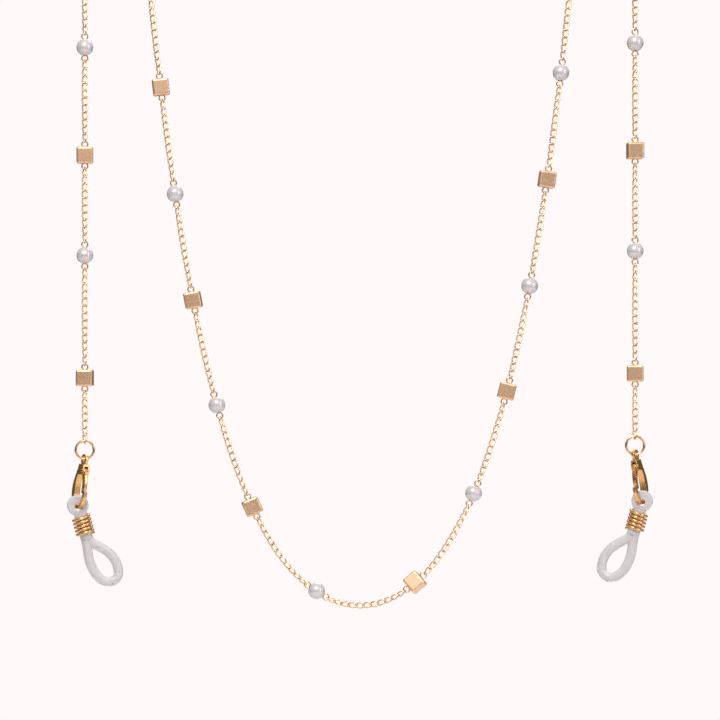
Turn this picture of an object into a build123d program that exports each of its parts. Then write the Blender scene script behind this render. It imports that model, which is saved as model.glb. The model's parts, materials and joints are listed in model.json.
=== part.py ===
from build123d import *
import os
from math import asinh, atan2, cos, hypot, pi, radians, sin, sqrt

# Eyeglasses chain strap, hanging over two rests. Millimetres, +Z up, its front faces -Y.
# The origin is midway between the two rests, at the height of their centres.

os.makedirs("parts", exist_ok=True)

# How the strap hangs
end_spacing = 131.0  # between the two hanging ends
drape_depth = 175.3  # from the rests' centres down to the drape's lowest point
drape_sag = 16.9  # the catenary's parameter, which is its radius at the lowest point
first_joint = -7.95  # along the drape from its lowest point to the first bead left of it

# Chain link, a curb link: an oval of wire twisted a quarter turn
link_wire = 0.33
link_width = 1.5
link_pitch = 1.76
wire_gap = 0.04  # between wires that hook together
link_slope = 25.0  # of the wire at the middle of each side, in degrees
link_roll = 45.0  # a run's first link, in degrees; its last link is turned the other way

# Beads and the eye pins that carry them
pearl_diameter = 4.0
cube_side = 3.95
cube_edge = 0.45
bead_bore = 0.7
bead_mouth = 1.5  # each end of the bore is widened to take the eye's foot
mouth_depth = 0.32
pin_wire = 0.34
eye_radius = 0.7  # to the middle of the wire
eye_reach = 1.33  # from the bead's face to the middle of the eye's outer wire

# Jump ring
ring_play = 0.24  # beside its wire, inside the last link
ring_gap = 0.2  # above the wire of the last link
ring_radius = 2.15  # to the middle of the wire

# Clasp: a lobster claw, drawn in its own plane with u across and w up from the ring's wire
clasp_lean = 8.0  # degrees, in the strap's plane
clasp_turn = 33.0  # degrees about its own length, from the plane across the strap
claw_thickness = 1.6
nose_thickness = 0.9
clasp_eye_thickness = 0.7
clasp_eye_wall = 0.53
clasp_eye_play = 0.84  # on the diameter, around the ring's wire
clasp_eye_gap = 0.33  # above the ring's wire
lever_thickness = 0.8
lever_boss = 1.44  # the diameter around the pivot
thumb_nub = 0.72
groove_length = 2.6  # the groove along the lever's face
groove_width = 0.3
groove_depth = 0.2
slot_gap = 0.06  # on each side of the lever
pivot_u = 0.65
pivot_w = -2.75
pivot_diameter = 0.58
pivot_clearance = 0.08  # on the diameter, inside the lever
rivet_head = 0.9
rivet_height = 0.12
slot_back = -0.35  # the u of the slot's back, which the spring stands against
spring_thickness = 0.12
spring_width = 0.6
hook_u = 0.1  # the middle of the hook at its lowest
hook_w = -11.55
hook_depth = 0.9

# Silicone loop, drawn in its own plane with its length up from the hook's wire
loop_lean = 15.4  # degrees, in the strap's plane
loop_turn = 15.0  # degrees, about the vertical
tab_diameter = 5.1
tab_thickness = 1.3
tab_edge = 0.45
tab_hole = 1.75
hole_edge = 0.2
tab_rise = 0.4  # the tab's middle above the hook's wire
hook_gap = 0.44  # between the hook and the top of the hole
neck_diameter = 3.0
neck_top = 1.7
neck_bottom = 7.8
leg_diameter = 2.26
right_leg = [(0.37, -6.9), (0.37, -7.6), (1.23, -9.44), (3.78, -11.99), (5.16, -14.65), (5.24, -17.55)]
left_leg = [(-0.37, -6.9), (-0.37, -7.9), (-0.65, -11.18), (-0.76, -13.77), (-0.3, -16.13), (0.82, -18.22)]
legs_meet = (2.99, -19.37)  # the two legs' lower ends

# Coil that slides on the neck
coil_wire = 0.7
coil_pitch = 0.88
coil_turns = 5.2
coil_clearance = 0.1  # around the neck
coil_top = 1.9  # below the hook's wire

# What each side carries, in order from the middle of the drape outwards: a number is a run of
# that many links, and a word is a bead on its pin.
right_drape = [11, "cube", 11, "pearl", 11, "cube", 11, "pearl", 11, "cube", 11, "pearl", 11]
left_drape = ["pearl", 11, "cube", 11, "pearl", 11, "cube", 11, "pearl", 11, "cube", 11]
right_top = ["cube", 13, "pearl", 13, "cube", 11]
left_top = ["pearl", 8, "cube", 8, "pearl", 9, "cube", 11]
hanging_end = ["pearl", 11, "cube", 10, "pearl", 13, "cube", 7]

# How far each cube is turned about its pin, in degrees, from the middle of the drape outwards
right_cube_turns = [16, 4, -3, 25, -40, 3, -4]
left_cube_turns = [-7, 3, -4, 30, -20, 4, -3]

# Worked out from the above
link_overlap = link_wire + wire_gap
link_length = link_pitch + link_overlap
half_link = link_length / 2
bead_length = pearl_diameter + 2 * eye_reach - (pin_wire + link_wire) / 2 - wire_gap
side_radius = (link_width - link_wire) / 2
strand_x = end_spacing / 2
ring_wire = link_width - 2 * link_wire - ring_play
clasp_eye_hole = ring_wire + clasp_eye_play
clasp_eye_w = ring_wire / 2 + clasp_eye_gap - clasp_eye_hole / 2


# The route: a catenary, an arc over each rest, and a straight drop
def catenary(length):
    """Across and up from the rests' height, this far along the drape from its lowest point."""
    across = drape_sag * asinh(length / drape_sag)
    return across, hypot(drape_sag, length) - drape_sag - drape_depth


def rest_arc(length):
    """The radius and centre of the arc that leaves the catenary here and ends at the strand."""
    across, up = catenary(length)
    slope = atan2(length, drape_sag)
    radius = (strand_x - across) / (1 + sin(slope))
    return radius, slope, up - radius * cos(slope)


def drape_half_length():
    """How far along the drape its arc's centre is at the rests' height."""
    low, high = drape_depth / 2, drape_depth * 1.5
    while high - low > 1e-9:
        middle = (low + high) / 2
        if rest_arc(middle)[2] < 0:
            low = middle
        else:
            high = middle
    return low


half_drape = drape_half_length()
rest_radius, rest_slope, _ = rest_arc(half_drape)
arc_length = rest_radius * (pi / 2 + rest_slope)


def route(length):
    """The point this far along the route, negative to the left."""
    far = abs(length)
    if far < half_drape:
        across, up = catenary(far)
    elif far < half_drape + arc_length:
        turn = pi / 2 + rest_slope - (far - half_drape) / rest_radius
        across = strand_x - rest_radius + rest_radius * cos(turn)
        up = rest_radius * sin(turn)
    else:
        across = strand_x
        up = half_drape + arc_length - far
    return Vector(across if length > 0 else -across, 0, up)


def step(length, chord, way):
    """How far along the route the next joint is, a straight chord away."""
    start = route(length)
    low, high = chord * 0.9, chord * 1.6
    while high - low > 1e-9:
        middle = (low + high) / 2
        if (route(length + way * middle) - start).length < chord:
            low = middle
        else:
            high = middle
    return length + way * low


def walk(length, way, pieces, turns):
    """Place pieces end to end. Returns where they end, and (kind, plane, turn) for each piece."""
    placed = []
    for piece in pieces:
        count = piece if isinstance(piece, int) else 1
        for number in range(count):
            chord = link_pitch if isinstance(piece, int) else bead_length
            following = step(length, chord, way)
            start, end = route(length), route(following)
            along = (start - end).normalized()
            across = Vector(0, 1, 0).cross(along)
            roll = 0.0
            if isinstance(piece, int):
                roll = link_roll * (1 - 2 * number / (count - 1))
            kind = "link" if isinstance(piece, int) else piece
            x_dir = across * cos(radians(roll)) + Vector(0, 1, 0) * sin(radians(roll))
            turn = turns.pop(0) if kind == "cube" else 0
            placed.append((kind, Plane((start + end) * 0.5, x_dir=x_dir, z_dir=along), turn))
            length = following
    return length, placed


def link_quarter():
    """One quarter of a link's centreline, as two arcs that meet smoothly."""
    twist = Vector(sqrt(0.5), sqrt(0.5), 0)
    slope = Vector(0, -sin(radians(link_slope)), -cos(radians(link_slope)))
    end, side = Vector(0, 0, half_link), Vector(side_radius, 0, 0)
    chord = side - end
    leaning = chord.dot(twist + slope)
    apart = 1 - twist.dot(slope)
    reach = (sqrt(leaning**2 + 2 * apart * chord.dot(chord)) - leaning) / (2 * apart)
    meeting = (end + twist * reach + side - slope * reach) * 0.5
    with BuildLine() as quarter:
        TangentArc(end, meeting, tangent=twist)
        TangentArc(side, meeting, tangent=slope * -1)
    return quarter.edges()


# Chain link
with BuildPart() as half_of_link:
    with BuildLine() as link_line:
        quarter = link_quarter()
        add(quarter)
        add([edge.rotate(Axis.X, 180) for edge in quarter])
    with BuildSketch(Plane((0, 0, half_link), z_dir=(1, 1, 0))):
        Circle(link_wire / 2)
    sweep(path=link_line.wires()[0])

with BuildPart() as link:
    add(half_of_link.part)
    add(half_of_link.part, rotation=(0, 0, 180))

# Eye pin
eye_height = pearl_diameter / 2 + eye_reach - eye_radius
with BuildPart() as eye_pin:
    Cylinder(pin_wire / 2, 2 * (eye_height - eye_radius))
    with Locations(Plane.XZ.offset(0)):
        with Locations((0, eye_height), (0, -eye_height)):
            Torus(eye_radius, pin_wire / 2)

# Pearl
with BuildPart() as pearl:
    Sphere(pearl_diameter / 2)
    Cylinder(bead_bore / 2, pearl_diameter, mode=Mode.SUBTRACT)
    with Locations((0, 0, pearl_diameter / 2), (0, 0, -pearl_diameter / 2)):
        Cylinder(bead_mouth / 2, 2 * mouth_depth, mode=Mode.SUBTRACT)

# Cube
with BuildPart() as cube:
    Box(cube_side, cube_side, cube_side)
    fillet(cube.edges(), cube_edge)
    Cylinder(bead_bore / 2, cube_side, mode=Mode.SUBTRACT)
    with Locations((0, 0, cube_side / 2), (0, 0, -cube_side / 2)):
        Cylinder(bead_mouth / 2, 2 * mouth_depth, mode=Mode.SUBTRACT)


def walk_side(way, drape, top, turns):
    """Place one side's pieces: the drape's, the top's and each hanging section's, and the end."""
    length, drape_pieces = walk(first_joint, way, drape, turns)
    length, top_pieces = walk(length, way, top, turns)
    sections = []
    for number in range(0, len(hanging_end), 2):
        length, pieces = walk(length, way, hanging_end[number : number + 2], turns)
        sections.append(pieces)
    return drape_pieces, top_pieces, sections, route(length)


right = walk_side(1, right_drape, right_top, list(right_cube_turns))
left = walk_side(-1, left_drape, left_top, list(left_cube_turns))

# The end pieces are drawn for the left end. The right end's are their mirror image, and hang
# from that end's own last link.
ring_rise = (ring_wire + link_wire) / 2 + ring_gap - link_overlap / 2
ring_centre = left[3] + Vector(0, 0, ring_rise - ring_radius)
hook_point = ring_centre - Vector(0, 0, ring_radius)
lean, turn = radians(clasp_lean), radians(clasp_turn)
clasp_up = Vector(sin(lean), 0, cos(lean))
clasp_across = Vector(sin(turn) * cos(lean), -cos(turn), -sin(turn) * sin(lean))
clasp_plane = Plane(hook_point, x_dir=clasp_across, z_dir=clasp_across.cross(clasp_up))
loop_tilt, loop_yaw = radians(loop_lean), radians(loop_turn)
loop_normal = Vector(sin(loop_yaw), -cos(loop_yaw), 0)
loop_across = Vector(cos(loop_yaw), sin(loop_yaw), 0) * cos(loop_tilt) + Vector(0, 0, sin(loop_tilt))
loop_origin = clasp_plane.from_local_coords(Vector(hook_u, hook_w, 0))
loop_plane = Plane(loop_origin, x_dir=loop_across, z_dir=loop_normal)
loop_length = Plane(loop_origin, x_dir=loop_across, z_dir=loop_normal.cross(loop_across))

# Jump ring
with BuildPart(Plane.XZ.shift_origin(ring_centre)) as jump_ring:
    Torus(ring_radius, ring_wire / 2)

# Clasp body: the head and spine at full thickness, the thinner hook and nose, and the eye
slot_width = lever_thickness + 2 * slot_gap
with BuildPart() as clasp_body:
    with BuildSketch(clasp_plane):
        with BuildLine():
            spine_back = Spline(
                (-1.0, -1.3), (-1.65, -3.3), (-2.45, -5.4), (-2.75, -7.4), (-2.45, -9.4), (-1.75, -10.6)
            )
            Line(spine_back @ 1, (-1.3, -10.2))
            spine_front = Spline((-1.3, -10.2), (-1.5, -9.2), (-1.55, -8.0), (-1.4, -5.6), (-0.8, -3.9))
            Polyline(spine_front @ 1, (1.3, -3.6), (1.45, -2.6), (1.1, -1.3), (-1.0, -1.3))
        make_face()
    extrude(amount=claw_thickness / 2, both=True)
    with BuildSketch(clasp_plane):
        with BuildLine():
            hook_outside = Spline(
                (-1.9, -10.5), (hook_u, hook_w - hook_depth / 2), (1.95, -10.9), (2.7, -9.0), (2.75, -7.6),
                tangents=((0.5, -1), (0, 1)),
            )
            Line(hook_outside @ 1, (2.05, -7.6))
            hook_inside = Spline(
                (2.05, -7.6), (1.9, -9.0), (1.25, -10.5), (hook_u, hook_w + hook_depth / 2), (-1.2, -10.3),
                tangents=((0, -1), (-0.6, 1)),
            )
            Line(hook_inside @ 1, (-1.9, -10.5))
        make_face()
    extrude(amount=nose_thickness / 2, both=True)
    with BuildSketch(clasp_plane):
        with Locations((0, clasp_eye_w)):
            Circle(clasp_eye_hole / 2 + clasp_eye_wall)
        with Locations((0, -1.2)):
            Rectangle(1.9, 1.2)
    extrude(amount=clasp_eye_thickness / 2, both=True)
    with BuildSketch(clasp_plane):
        with Locations((0, clasp_eye_w)):
            Circle(clasp_eye_hole / 2)
    extrude(amount=claw_thickness, both=True, mode=Mode.SUBTRACT)
    with BuildSketch(clasp_plane):
        with Locations((slot_back, pivot_w - 0.15)):
            Rectangle(3.0, 2.3, align=(Align.MIN, Align.CENTER))
    extrude(amount=slot_width / 2, both=True, mode=Mode.SUBTRACT)
    with BuildSketch(clasp_plane):
        with Locations((pivot_u, pivot_w)):
            Circle(pivot_diameter / 2)
    extrude(amount=claw_thickness, both=True, mode=Mode.SUBTRACT)

# Clasp lever: a boss on the pivot, an arm down to the nose and a thumb nub
with BuildPart() as clasp_lever:
    with BuildSketch(clasp_plane):
        with Locations((pivot_u, pivot_w)):
            Circle(lever_boss / 2)
        with Locations((1.75, -3.3)):
            Circle(thumb_nub / 2)
        with BuildLine():
            lever_front = Spline((1.2, -2.3), (1.95, -4.0), (2.25, -5.6), (2.2, -7.45))
            Polyline(lever_front @ 1, (1.98, -7.5), (1.88, -8.1), (1.2, -8.1))
            lever_back = Spline((1.2, -8.1), (1.2, -6.4), (0.95, -4.8), (0.1, -3.2))
            Line(lever_back @ 1, (1.2, -2.3))
        make_face()
    extrude(amount=lever_thickness / 2, both=True)
    with BuildSketch(clasp_plane):
        with Locations((pivot_u, pivot_w)):
            Circle((pivot_diameter + pivot_clearance) / 2)
    extrude(amount=lever_thickness, both=True, mode=Mode.SUBTRACT)
    with BuildSketch(clasp_plane.offset(lever_thickness / 2)):
        with Locations((1.72, -5.9)):
            SlotOverall(groove_length, groove_width, rotation=86)
    extrude(amount=-groove_depth, mode=Mode.SUBTRACT)

# Clasp rivet: a pin through both cheeks of the head, with a low head at each end
with BuildPart() as clasp_rivet:
    with BuildSketch(clasp_plane):
        with Locations((pivot_u, pivot_w)):
            Circle(pivot_diameter / 2)
    extrude(amount=claw_thickness / 2 + rivet_height, both=True)
    for face_side in (1, -1):
        with BuildSketch(clasp_plane.offset(face_side * claw_thickness / 2)):
            with Locations((pivot_u, pivot_w)):
                Circle(rivet_head / 2)
        extrude(amount=face_side * rivet_height)

# Clasp spring: a bent leaf between the back of the slot and the lever
with BuildPart() as clasp_spring:
    with BuildSketch(clasp_plane):
        with BuildLine() as leaf:
            leaf_u = slot_back + spring_thickness / 2
            Polyline((leaf_u, -1.85), (leaf_u, -3.3), (leaf_u + 0.35, -3.85))
        trace(leaf.edges(), line_width=spring_thickness)
    extrude(amount=spring_width / 2, both=True)

# Silicone loop: a round tab with the hook's hole, a neck, and one loop of round cord
with BuildPart() as temple_loop:
    with BuildSketch(loop_plane):
        with Locations((0, tab_rise)):
            Circle(tab_diameter / 2)
    extrude(amount=tab_thickness / 2, both=True)
    fillet(temple_loop.edges().filter_by(GeomType.CIRCLE), tab_edge)
    with BuildSketch(loop_length.offset(-neck_bottom)):
        Circle(neck_diameter / 2)
    extrude(amount=neck_bottom - neck_top)
    hole_drop = (tab_hole - hook_depth) / 2 - hook_gap
    with BuildSketch(loop_plane):
        with Locations((0, -hole_drop)):
            Circle(tab_hole / 2)
    extrude(amount=tab_thickness, both=True, mode=Mode.SUBTRACT)
    hole_rims = temple_loop.edges().filter_by(GeomType.CIRCLE)
    fillet(hole_rims.filter_by(lambda rim: abs(rim.radius - tab_hole / 2) < hole_edge / 10), hole_edge)
    for leg_points in (right_leg, left_leg):
        with BuildLine() as leg:
            stretch = Line(leg_points[0], leg_points[1])
            for near, far in zip(leg_points[1:], [*leg_points[2:], legs_meet]):
                stretch = TangentArc(near, far, tangent=stretch % 1)
        cord_line = loop_plane.from_local_coords(leg.wires()[0])
        with BuildSketch(Plane(cord_line @ 0, z_dir=cord_line % 0)):
            Circle(leg_diameter / 2)
        sweep(path=cord_line)

# Coil, a helix of wire around the neck
coil_radius = (neck_diameter + coil_wire) / 2 + coil_clearance
coil_height = coil_turns * coil_pitch
coil_foot = loop_length.offset(-(coil_top + coil_wire / 2 + coil_height))
with BuildPart() as coil:
    with BuildLine() as helix:
        Helix(coil_pitch, coil_height, coil_radius)
    coil_line = coil_foot.from_local_coords(helix.wires()[0])
    with BuildSketch(Plane(coil_line @ 0, z_dir=coil_line % 0)):
        Circle(coil_wire / 2)
    sweep(path=coil_line, is_frenet=True)


def write(shape, name):
    """Label a finished piece and write it."""
    shape.label = name
    export_step(shape, f"parts/{name}.step")


def links_of(pieces):
    """The links among these pieces."""
    planes = [plane for kind, plane, _ in pieces if kind == "link"]
    return Compound(children=[link.part.moved(plane.location) for plane in planes])


def pins_of(pieces):
    """The eye pin of each bead among these pieces."""
    planes = [plane for kind, plane, _ in pieces if kind != "link"]
    return Compound(children=[eye_pin.part.moved(plane.location) for plane in planes])


def beads_of(pieces):
    """The beads among these pieces, as (kind, bead), each turned about its pin."""
    shapes = {"pearl": pearl.part, "cube": cube.part}
    return [
        (kind, shapes[kind].moved(plane.location * Rotation(0, 0, turn)))
        for kind, plane, turn in pieces
        if kind in shapes
    ]


# The top, between the rests and the first hanging sections
top = right[1] + left[1]
write(links_of(top), "top_links")
write(pins_of(top), "top_pins")
write(Compound(children=[bead for kind, bead in beads_of(top) if kind == "pearl"]), "top_pearls")
write(Compound(children=[bead for kind, bead in beads_of(top) if kind == "cube"]), "top_cubes")

for side, (drape, _, sections, _) in (("right", right), ("left", left)):
    # The drape: its links in a lower and an upper half, and each bead by itself
    middle = len(drape) // 2
    write(links_of(drape[:middle]), f"drape_links_{side}_low")
    write(links_of(drape[middle:]), f"drape_links_{side}_high")
    write(pins_of(drape), f"drape_pins_{side}")
    for number, (kind, bead) in enumerate(beads_of(drape), 1):
        write(bead, f"drape_{kind}_{side}_{number}")

    # The hanging sections, from the top down: a bead on its pin, and the links below it
    for number, pieces in enumerate(sections, 1):
        write(links_of(pieces), f"strand_links_{side}_{number}")
        write(pins_of(pieces), f"strand_pin_{side}_{number}")
        for kind, bead in beads_of(pieces):
            write(bead, f"strand_{kind}_{side}_{number}")

# The end pieces
end_shift = Location(right[3] - Vector(-left[3].X, left[3].Y, left[3].Z))
end_pieces = {
    "jump_ring": jump_ring,
    "clasp_body": clasp_body,
    "clasp_lever": clasp_lever,
    "clasp_rivet": clasp_rivet,
    "clasp_spring": clasp_spring,
    "temple_loop": temple_loop,
    "coil": coil,
}
for name, piece in end_pieces.items():
    write(piece.part, f"{name}_left")
    write(piece.part.mirror(Plane.YZ).moved(end_shift), f"{name}_right")
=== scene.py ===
"""Looks for the eyeglasses chain strap: plated chain, pearls, brushed cubes, clasps and silicone loops."""
import json
import math

import bpy
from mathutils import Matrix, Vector


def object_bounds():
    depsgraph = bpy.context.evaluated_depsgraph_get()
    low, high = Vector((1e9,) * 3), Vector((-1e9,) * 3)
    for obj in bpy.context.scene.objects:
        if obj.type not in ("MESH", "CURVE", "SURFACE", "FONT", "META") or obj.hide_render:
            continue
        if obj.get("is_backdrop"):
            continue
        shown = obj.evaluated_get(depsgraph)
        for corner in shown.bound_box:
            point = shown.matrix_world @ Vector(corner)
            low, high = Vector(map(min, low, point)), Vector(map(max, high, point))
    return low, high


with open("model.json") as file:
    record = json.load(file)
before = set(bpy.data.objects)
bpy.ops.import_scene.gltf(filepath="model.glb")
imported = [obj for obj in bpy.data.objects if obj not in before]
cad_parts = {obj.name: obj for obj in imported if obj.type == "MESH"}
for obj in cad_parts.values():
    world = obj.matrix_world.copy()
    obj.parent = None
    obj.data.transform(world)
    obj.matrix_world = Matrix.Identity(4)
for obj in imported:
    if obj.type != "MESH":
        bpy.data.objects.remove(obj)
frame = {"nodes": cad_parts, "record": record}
cad_low, cad_high = (Vector(corner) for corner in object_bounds())

# View, in metres
VIEW_WIDTH = 0.1714
VIEW_MARGIN = 0.0265  # below the drape's lowest point
CAMERA_DISTANCE = 0.80
SENSOR = 36.0  # mm
view_centre = Vector((0, 0, cad_low.z - VIEW_MARGIN + VIEW_WIDTH / 2))

# Studio, in metres and watts
FLOOR_DROP = 0.075  # below the drape's lowest point
FLOOR_RADIUS = 0.40
FLOOR_SIDES = 96
FLOOR_COLOUR = (0.88, 0.86, 0.855, 1)
FLOOR_ROUGHNESS = 0.8
BACKGROUND = (1.0, 0.947, 0.947, 1)  # what the camera sees behind the strap
SURROUND_STRENGTH = 0.62
SURROUND_BELOW = (0.85, 0.80, 0.78, 1)
SURROUND_ABOVE = (1.0, 0.98, 0.97, 1)
SURROUND_BANDS = ((0.28, 0.45), (0.42, 0.10), (0.55, 0.16), (0.66, 0.75))  # height from 0 to 1, and grey
BAND_TINT = (1.0, 0.93, 0.9)
LIGHTS = {  # where, width and height, power
    "key": ((-0.12, -0.55, 0.42), (0.28, 0.28), 4.2),
    "fill": ((0.7, -0.45, 0.1), (0.3, 0.6), 1.8),
    "back": ((0.1, 0.7, 0.5), (0.6, 0.3), 2.0),
}

# Materials: tones are the two ends of a colour's drift, and lengths are in metres
CHAIN_TONES = ((0.84, 0.53, 0.27), (0.93, 0.63, 0.37))
CLASP_TONES = ((0.80, 0.45, 0.17), (0.88, 0.53, 0.24))
STEEL_TONES = ((0.55, 0.55, 0.57), (0.62, 0.62, 0.64))
CUBE_TONES = ((0.85, 0.53, 0.33), (0.95, 0.66, 0.44))
PEARL_TONES = ((0.63, 0.59, 0.61), (0.69, 0.65, 0.67))
SILICONE_TONES = ((0.79, 0.75, 0.765), (0.86, 0.82, 0.835))
CLASP_EDGE = 0.00025
CUBE_EDGE = 0.00045
EDGE_SAMPLES = 6
RELIEF_DEPTH = 0.00001
GRAIN_STRETCH = (1.0, 1.0, 0.09)  # draws the cubes' grain out along Z


def make_camera():
    """A long lens, level, straight at the front of the drape."""
    data = bpy.data.cameras.new("camera")
    data.sensor_width = SENSOR
    data.lens = SENSOR * CAMERA_DISTANCE / VIEW_WIDTH
    camera = bpy.data.objects.new("camera", data)
    bpy.context.collection.objects.link(camera)
    camera.location = view_centre + Vector((0, -CAMERA_DISTANCE, 0))
    camera.rotation_euler = (math.radians(90), 0, 0)
    bpy.context.scene.camera = camera


def node(tree, kind, inputs=None, **settings):
    """A shader node with its settings and its inputs, which are values or other nodes' outputs."""
    made = tree.nodes.new(kind)
    for name, value in settings.items():
        setattr(made, name, value)
    for name, value in (inputs or {}).items():
        if isinstance(value, bpy.types.NodeSocket):
            tree.links.new(value, made.inputs[name])
        else:
            made.inputs[name].default_value = value
    return made


def make_surround():
    """One pale tone for the camera. All else sees bands: dark at the horizon, bright above and below."""
    world = bpy.data.worlds.new("studio")
    bpy.context.scene.world = world
    world.use_nodes = True
    tree = world.node_tree
    tree.nodes.clear()
    direction = node(tree, "ShaderNodeTexCoord").outputs["Generated"]
    upward = node(tree, "ShaderNodeSeparateXYZ", {0: direction}).outputs["Z"]
    height = node(tree, "ShaderNodeMapRange", {"Value": upward, "From Min": -1, "From Max": 1}).outputs[0]
    ramp = node(tree, "ShaderNodeValToRGB", {"Fac": height})
    stops = ramp.color_ramp.elements
    stops[0].position, stops[0].color = 0.0, SURROUND_BELOW
    stops[1].position, stops[1].color = 1.0, SURROUND_ABOVE
    for position, grey in SURROUND_BANDS:
        stop = stops.new(position)
        stop.color = (*(grey * tint for tint in BAND_TINT), 1)
    seen = node(tree, "ShaderNodeBackground", {"Color": BACKGROUND, "Strength": 1.0})
    bands = {"Color": ramp.outputs["Color"], "Strength": SURROUND_STRENGTH}
    around = node(tree, "ShaderNodeBackground", bands)
    camera_ray = node(tree, "ShaderNodeLightPath").outputs["Is Camera Ray"]
    mixed = node(tree, "ShaderNodeMixShader", {0: camera_ray, 1: around.outputs[0], 2: seen.outputs[0]})
    node(tree, "ShaderNodeOutputWorld", {"Surface": mixed.outputs[0]})


def make_floor():
    """A plain pale disc, under the strap and below the camera's view."""
    centre = (0, 0, cad_low.z - FLOOR_DROP)
    bpy.ops.mesh.primitive_circle_add(
        vertices=FLOOR_SIDES, radius=FLOOR_RADIUS, fill_type="NGON", location=centre
    )
    floor = bpy.context.object
    floor.name = "floor"
    pale = bpy.data.materials.new("floor")
    pale.use_nodes = True
    shader = pale.node_tree.nodes["Principled BSDF"]
    shader.inputs["Base Color"].default_value = FLOOR_COLOUR
    shader.inputs["Roughness"].default_value = FLOOR_ROUGHNESS
    floor.data.materials.append(pale)
    floor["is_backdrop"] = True


def area_light(name, place, size, power):
    """A soft panel that faces the middle of the view."""
    data = bpy.data.lights.new(name, "AREA")
    data.shape = "RECTANGLE"
    data.size, data.size_y = size
    data.energy = power
    light = bpy.data.objects.new(name, data)
    bpy.context.collection.objects.link(light)
    light.location = place
    light.rotation_euler = (view_centre - Vector(place)).to_track_quat("-Z", "Y").to_euler()


def make_studio():
    """The surround, the floor and soft lights, shown with no film curve."""
    bpy.context.scene.view_settings.view_transform = "Standard"
    make_surround()
    make_floor()
    for name, (place, size, power) in LIGHTS.items():
        area_light(name, place, size, power)


def principled(name, values):
    """A new material with these input values, its tree, its shader and its object coordinates."""
    made = bpy.data.materials.new(name)
    made.use_nodes = True
    tree = made.node_tree
    shader = tree.nodes["Principled BSDF"]
    for key, value in values.items():
        shader.inputs[key].default_value = value
    return made, tree, shader, node(tree, "ShaderNodeTexCoord").outputs["Object"]


def noise(tree, vector, scale, detail=3.0):
    """A cloud from 0 to 1, with its scale in waves to the metre."""
    inputs = {"Vector": vector, "Scale": scale, "Detail": detail}
    return node(tree, "ShaderNodeTexNoise", inputs).outputs["Fac"]


def colour(tree, shader, factor, tones):
    """A base colour that drifts from the first tone to the second with the factor."""
    low, high = tones
    mix = node(tree, "ShaderNodeMix", data_type="RGBA")
    tree.links.new(factor, mix.inputs["Factor"])
    mix.inputs["A"].default_value = (*low, 1)
    mix.inputs["B"].default_value = (*high, 1)
    tree.links.new(mix.outputs["Result"], shader.inputs["Base Color"])


def polish(tree, shader, factor, smoothest, roughest):
    """A roughness that runs between two values with the factor."""
    span = {"Value": factor, "To Min": smoothest, "To Max": roughest}
    tree.links.new(node(tree, "ShaderNodeMapRange", span).outputs[0], shader.inputs["Roughness"])


def bump(tree, shader, height, strength, edge=0.0):
    """Fine relief, and edges that catch the light as if they were rounded by this radius."""
    relief = {"Height": height, "Distance": RELIEF_DEPTH, "Strength": strength}
    lifted = node(tree, "ShaderNodeBump", relief)
    if edge:
        rounded = node(tree, "ShaderNodeBevel", {"Radius": edge}, samples=EDGE_SAMPLES)
        tree.links.new(rounded.outputs["Normal"], lifted.inputs["Normal"])
    tree.links.new(lifted.outputs["Normal"], shader.inputs["Normal"])


def plated(name, tones, smoothest, roughest, marks, edge=0.0):
    """Polished plate: a slow drift of tone, uneven polish and fine tumbling marks."""
    made, tree, shader, place = principled(name, {"Metallic": 1.0})
    colour(tree, shader, noise(tree, place, scale=900, detail=2.0), tones)
    polish(tree, shader, noise(tree, place, scale=1500), smoothest, roughest)
    bump(tree, shader, noise(tree, place, scale=1800, detail=2.0), marks, edge)
    return made


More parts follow.
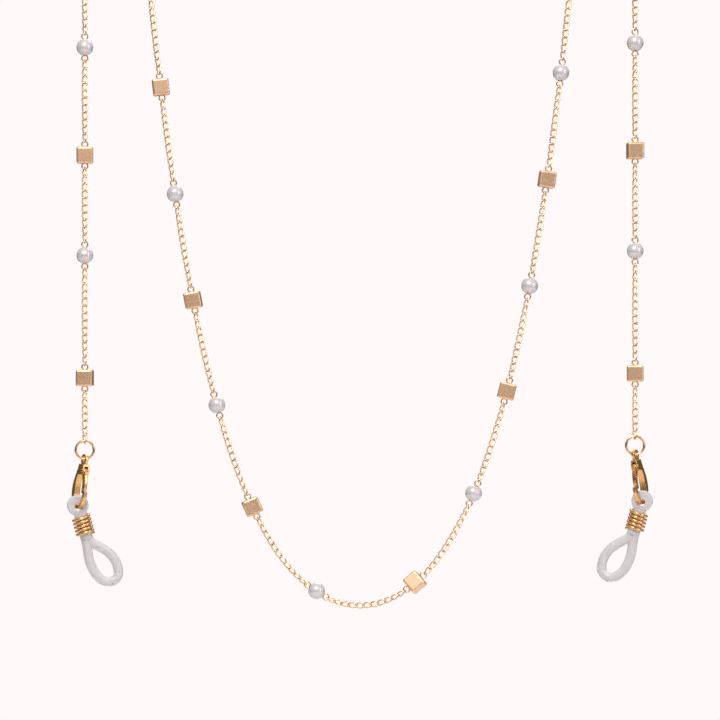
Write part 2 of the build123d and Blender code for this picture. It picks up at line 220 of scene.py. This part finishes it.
def brushed_gold():
    """Satin cubes: fine grain brushed across the faces, with a soft cloudy tone."""
    made, tree, shader, place = principled("brushed_gold", {"Metallic": 1.0})
    stretched = node(tree, "ShaderNodeMapping", {"Vector": place, "Scale": GRAIN_STRETCH}).outputs[0]
    grain = noise(tree, stretched, scale=14000, detail=2.0)
    colour(tree, shader, noise(tree, place, scale=520, detail=2.0), CUBE_TONES)
    polish(tree, shader, grain, smoothest=0.38, roughest=0.48)
    bump(tree, shader, grain, strength=0.05, edge=CUBE_EDGE)
    return made


def pearl():
    """Pearl lustre: a lilac-grey body under a clear coat, with faint nacre clouds."""
    values = {
        "Metallic": 0.25,
        "Coat Weight": 0.6,
        "Coat Roughness": 0.18,
        "Sheen Weight": 0.25,
        "Sheen Tint": (0.95, 0.88, 0.95, 1),
    }
    made, tree, shader, place = principled("pearl", values)
    colour(tree, shader, noise(tree, place, scale=420), PEARL_TONES)
    polish(tree, shader, noise(tree, place, scale=700), smoothest=0.30, roughest=0.36)
    bump(tree, shader, noise(tree, place, scale=900, detail=2.0), strength=0.02)
    return made


def silicone():
    """Milky silicone: light passes and scatters, with a faint moulded grain."""
    values = {
        "Transmission Weight": 0.35,
        "IOR": 1.41,
        "Subsurface Weight": 0.4,
        "Subsurface Radius": (1.0, 0.9, 0.95),
        "Subsurface Scale": 0.0015,
    }
    made, tree, shader, place = principled("silicone", values)
    colour(tree, shader, noise(tree, place, scale=350, detail=2.0), SILICONE_TONES)
    polish(tree, shader, noise(tree, place, scale=1800), smoothest=0.30, roughest=0.42)
    bump(tree, shader, noise(tree, place, scale=3500), strength=0.2)
    return made


def dress_nodes():
    """Give each CAD node the material of its slot in the record."""
    looks = {
        "chain_gold": plated("chain_gold", CHAIN_TONES, smoothest=0.24, roughest=0.30, marks=0.05),
        "clasp_gold": plated(
            "clasp_gold", CLASP_TONES, smoothest=0.24, roughest=0.30, marks=0.03, edge=CLASP_EDGE
        ),
        "spring_steel": plated("spring_steel", STEEL_TONES, smoothest=0.20, roughest=0.30, marks=0.10),
        "bead_gold": brushed_gold(),
        "pearl": pearl(),
        "silicone": silicone(),
    }
    slots = {part["node"]: part["material_slot"] for part in frame["record"]["subparts"]}
    for name, piece in frame["nodes"].items():
        for slot in piece.material_slots:
            slot.material = looks[slots[name]]


make_camera()
make_studio()
dress_nodes()
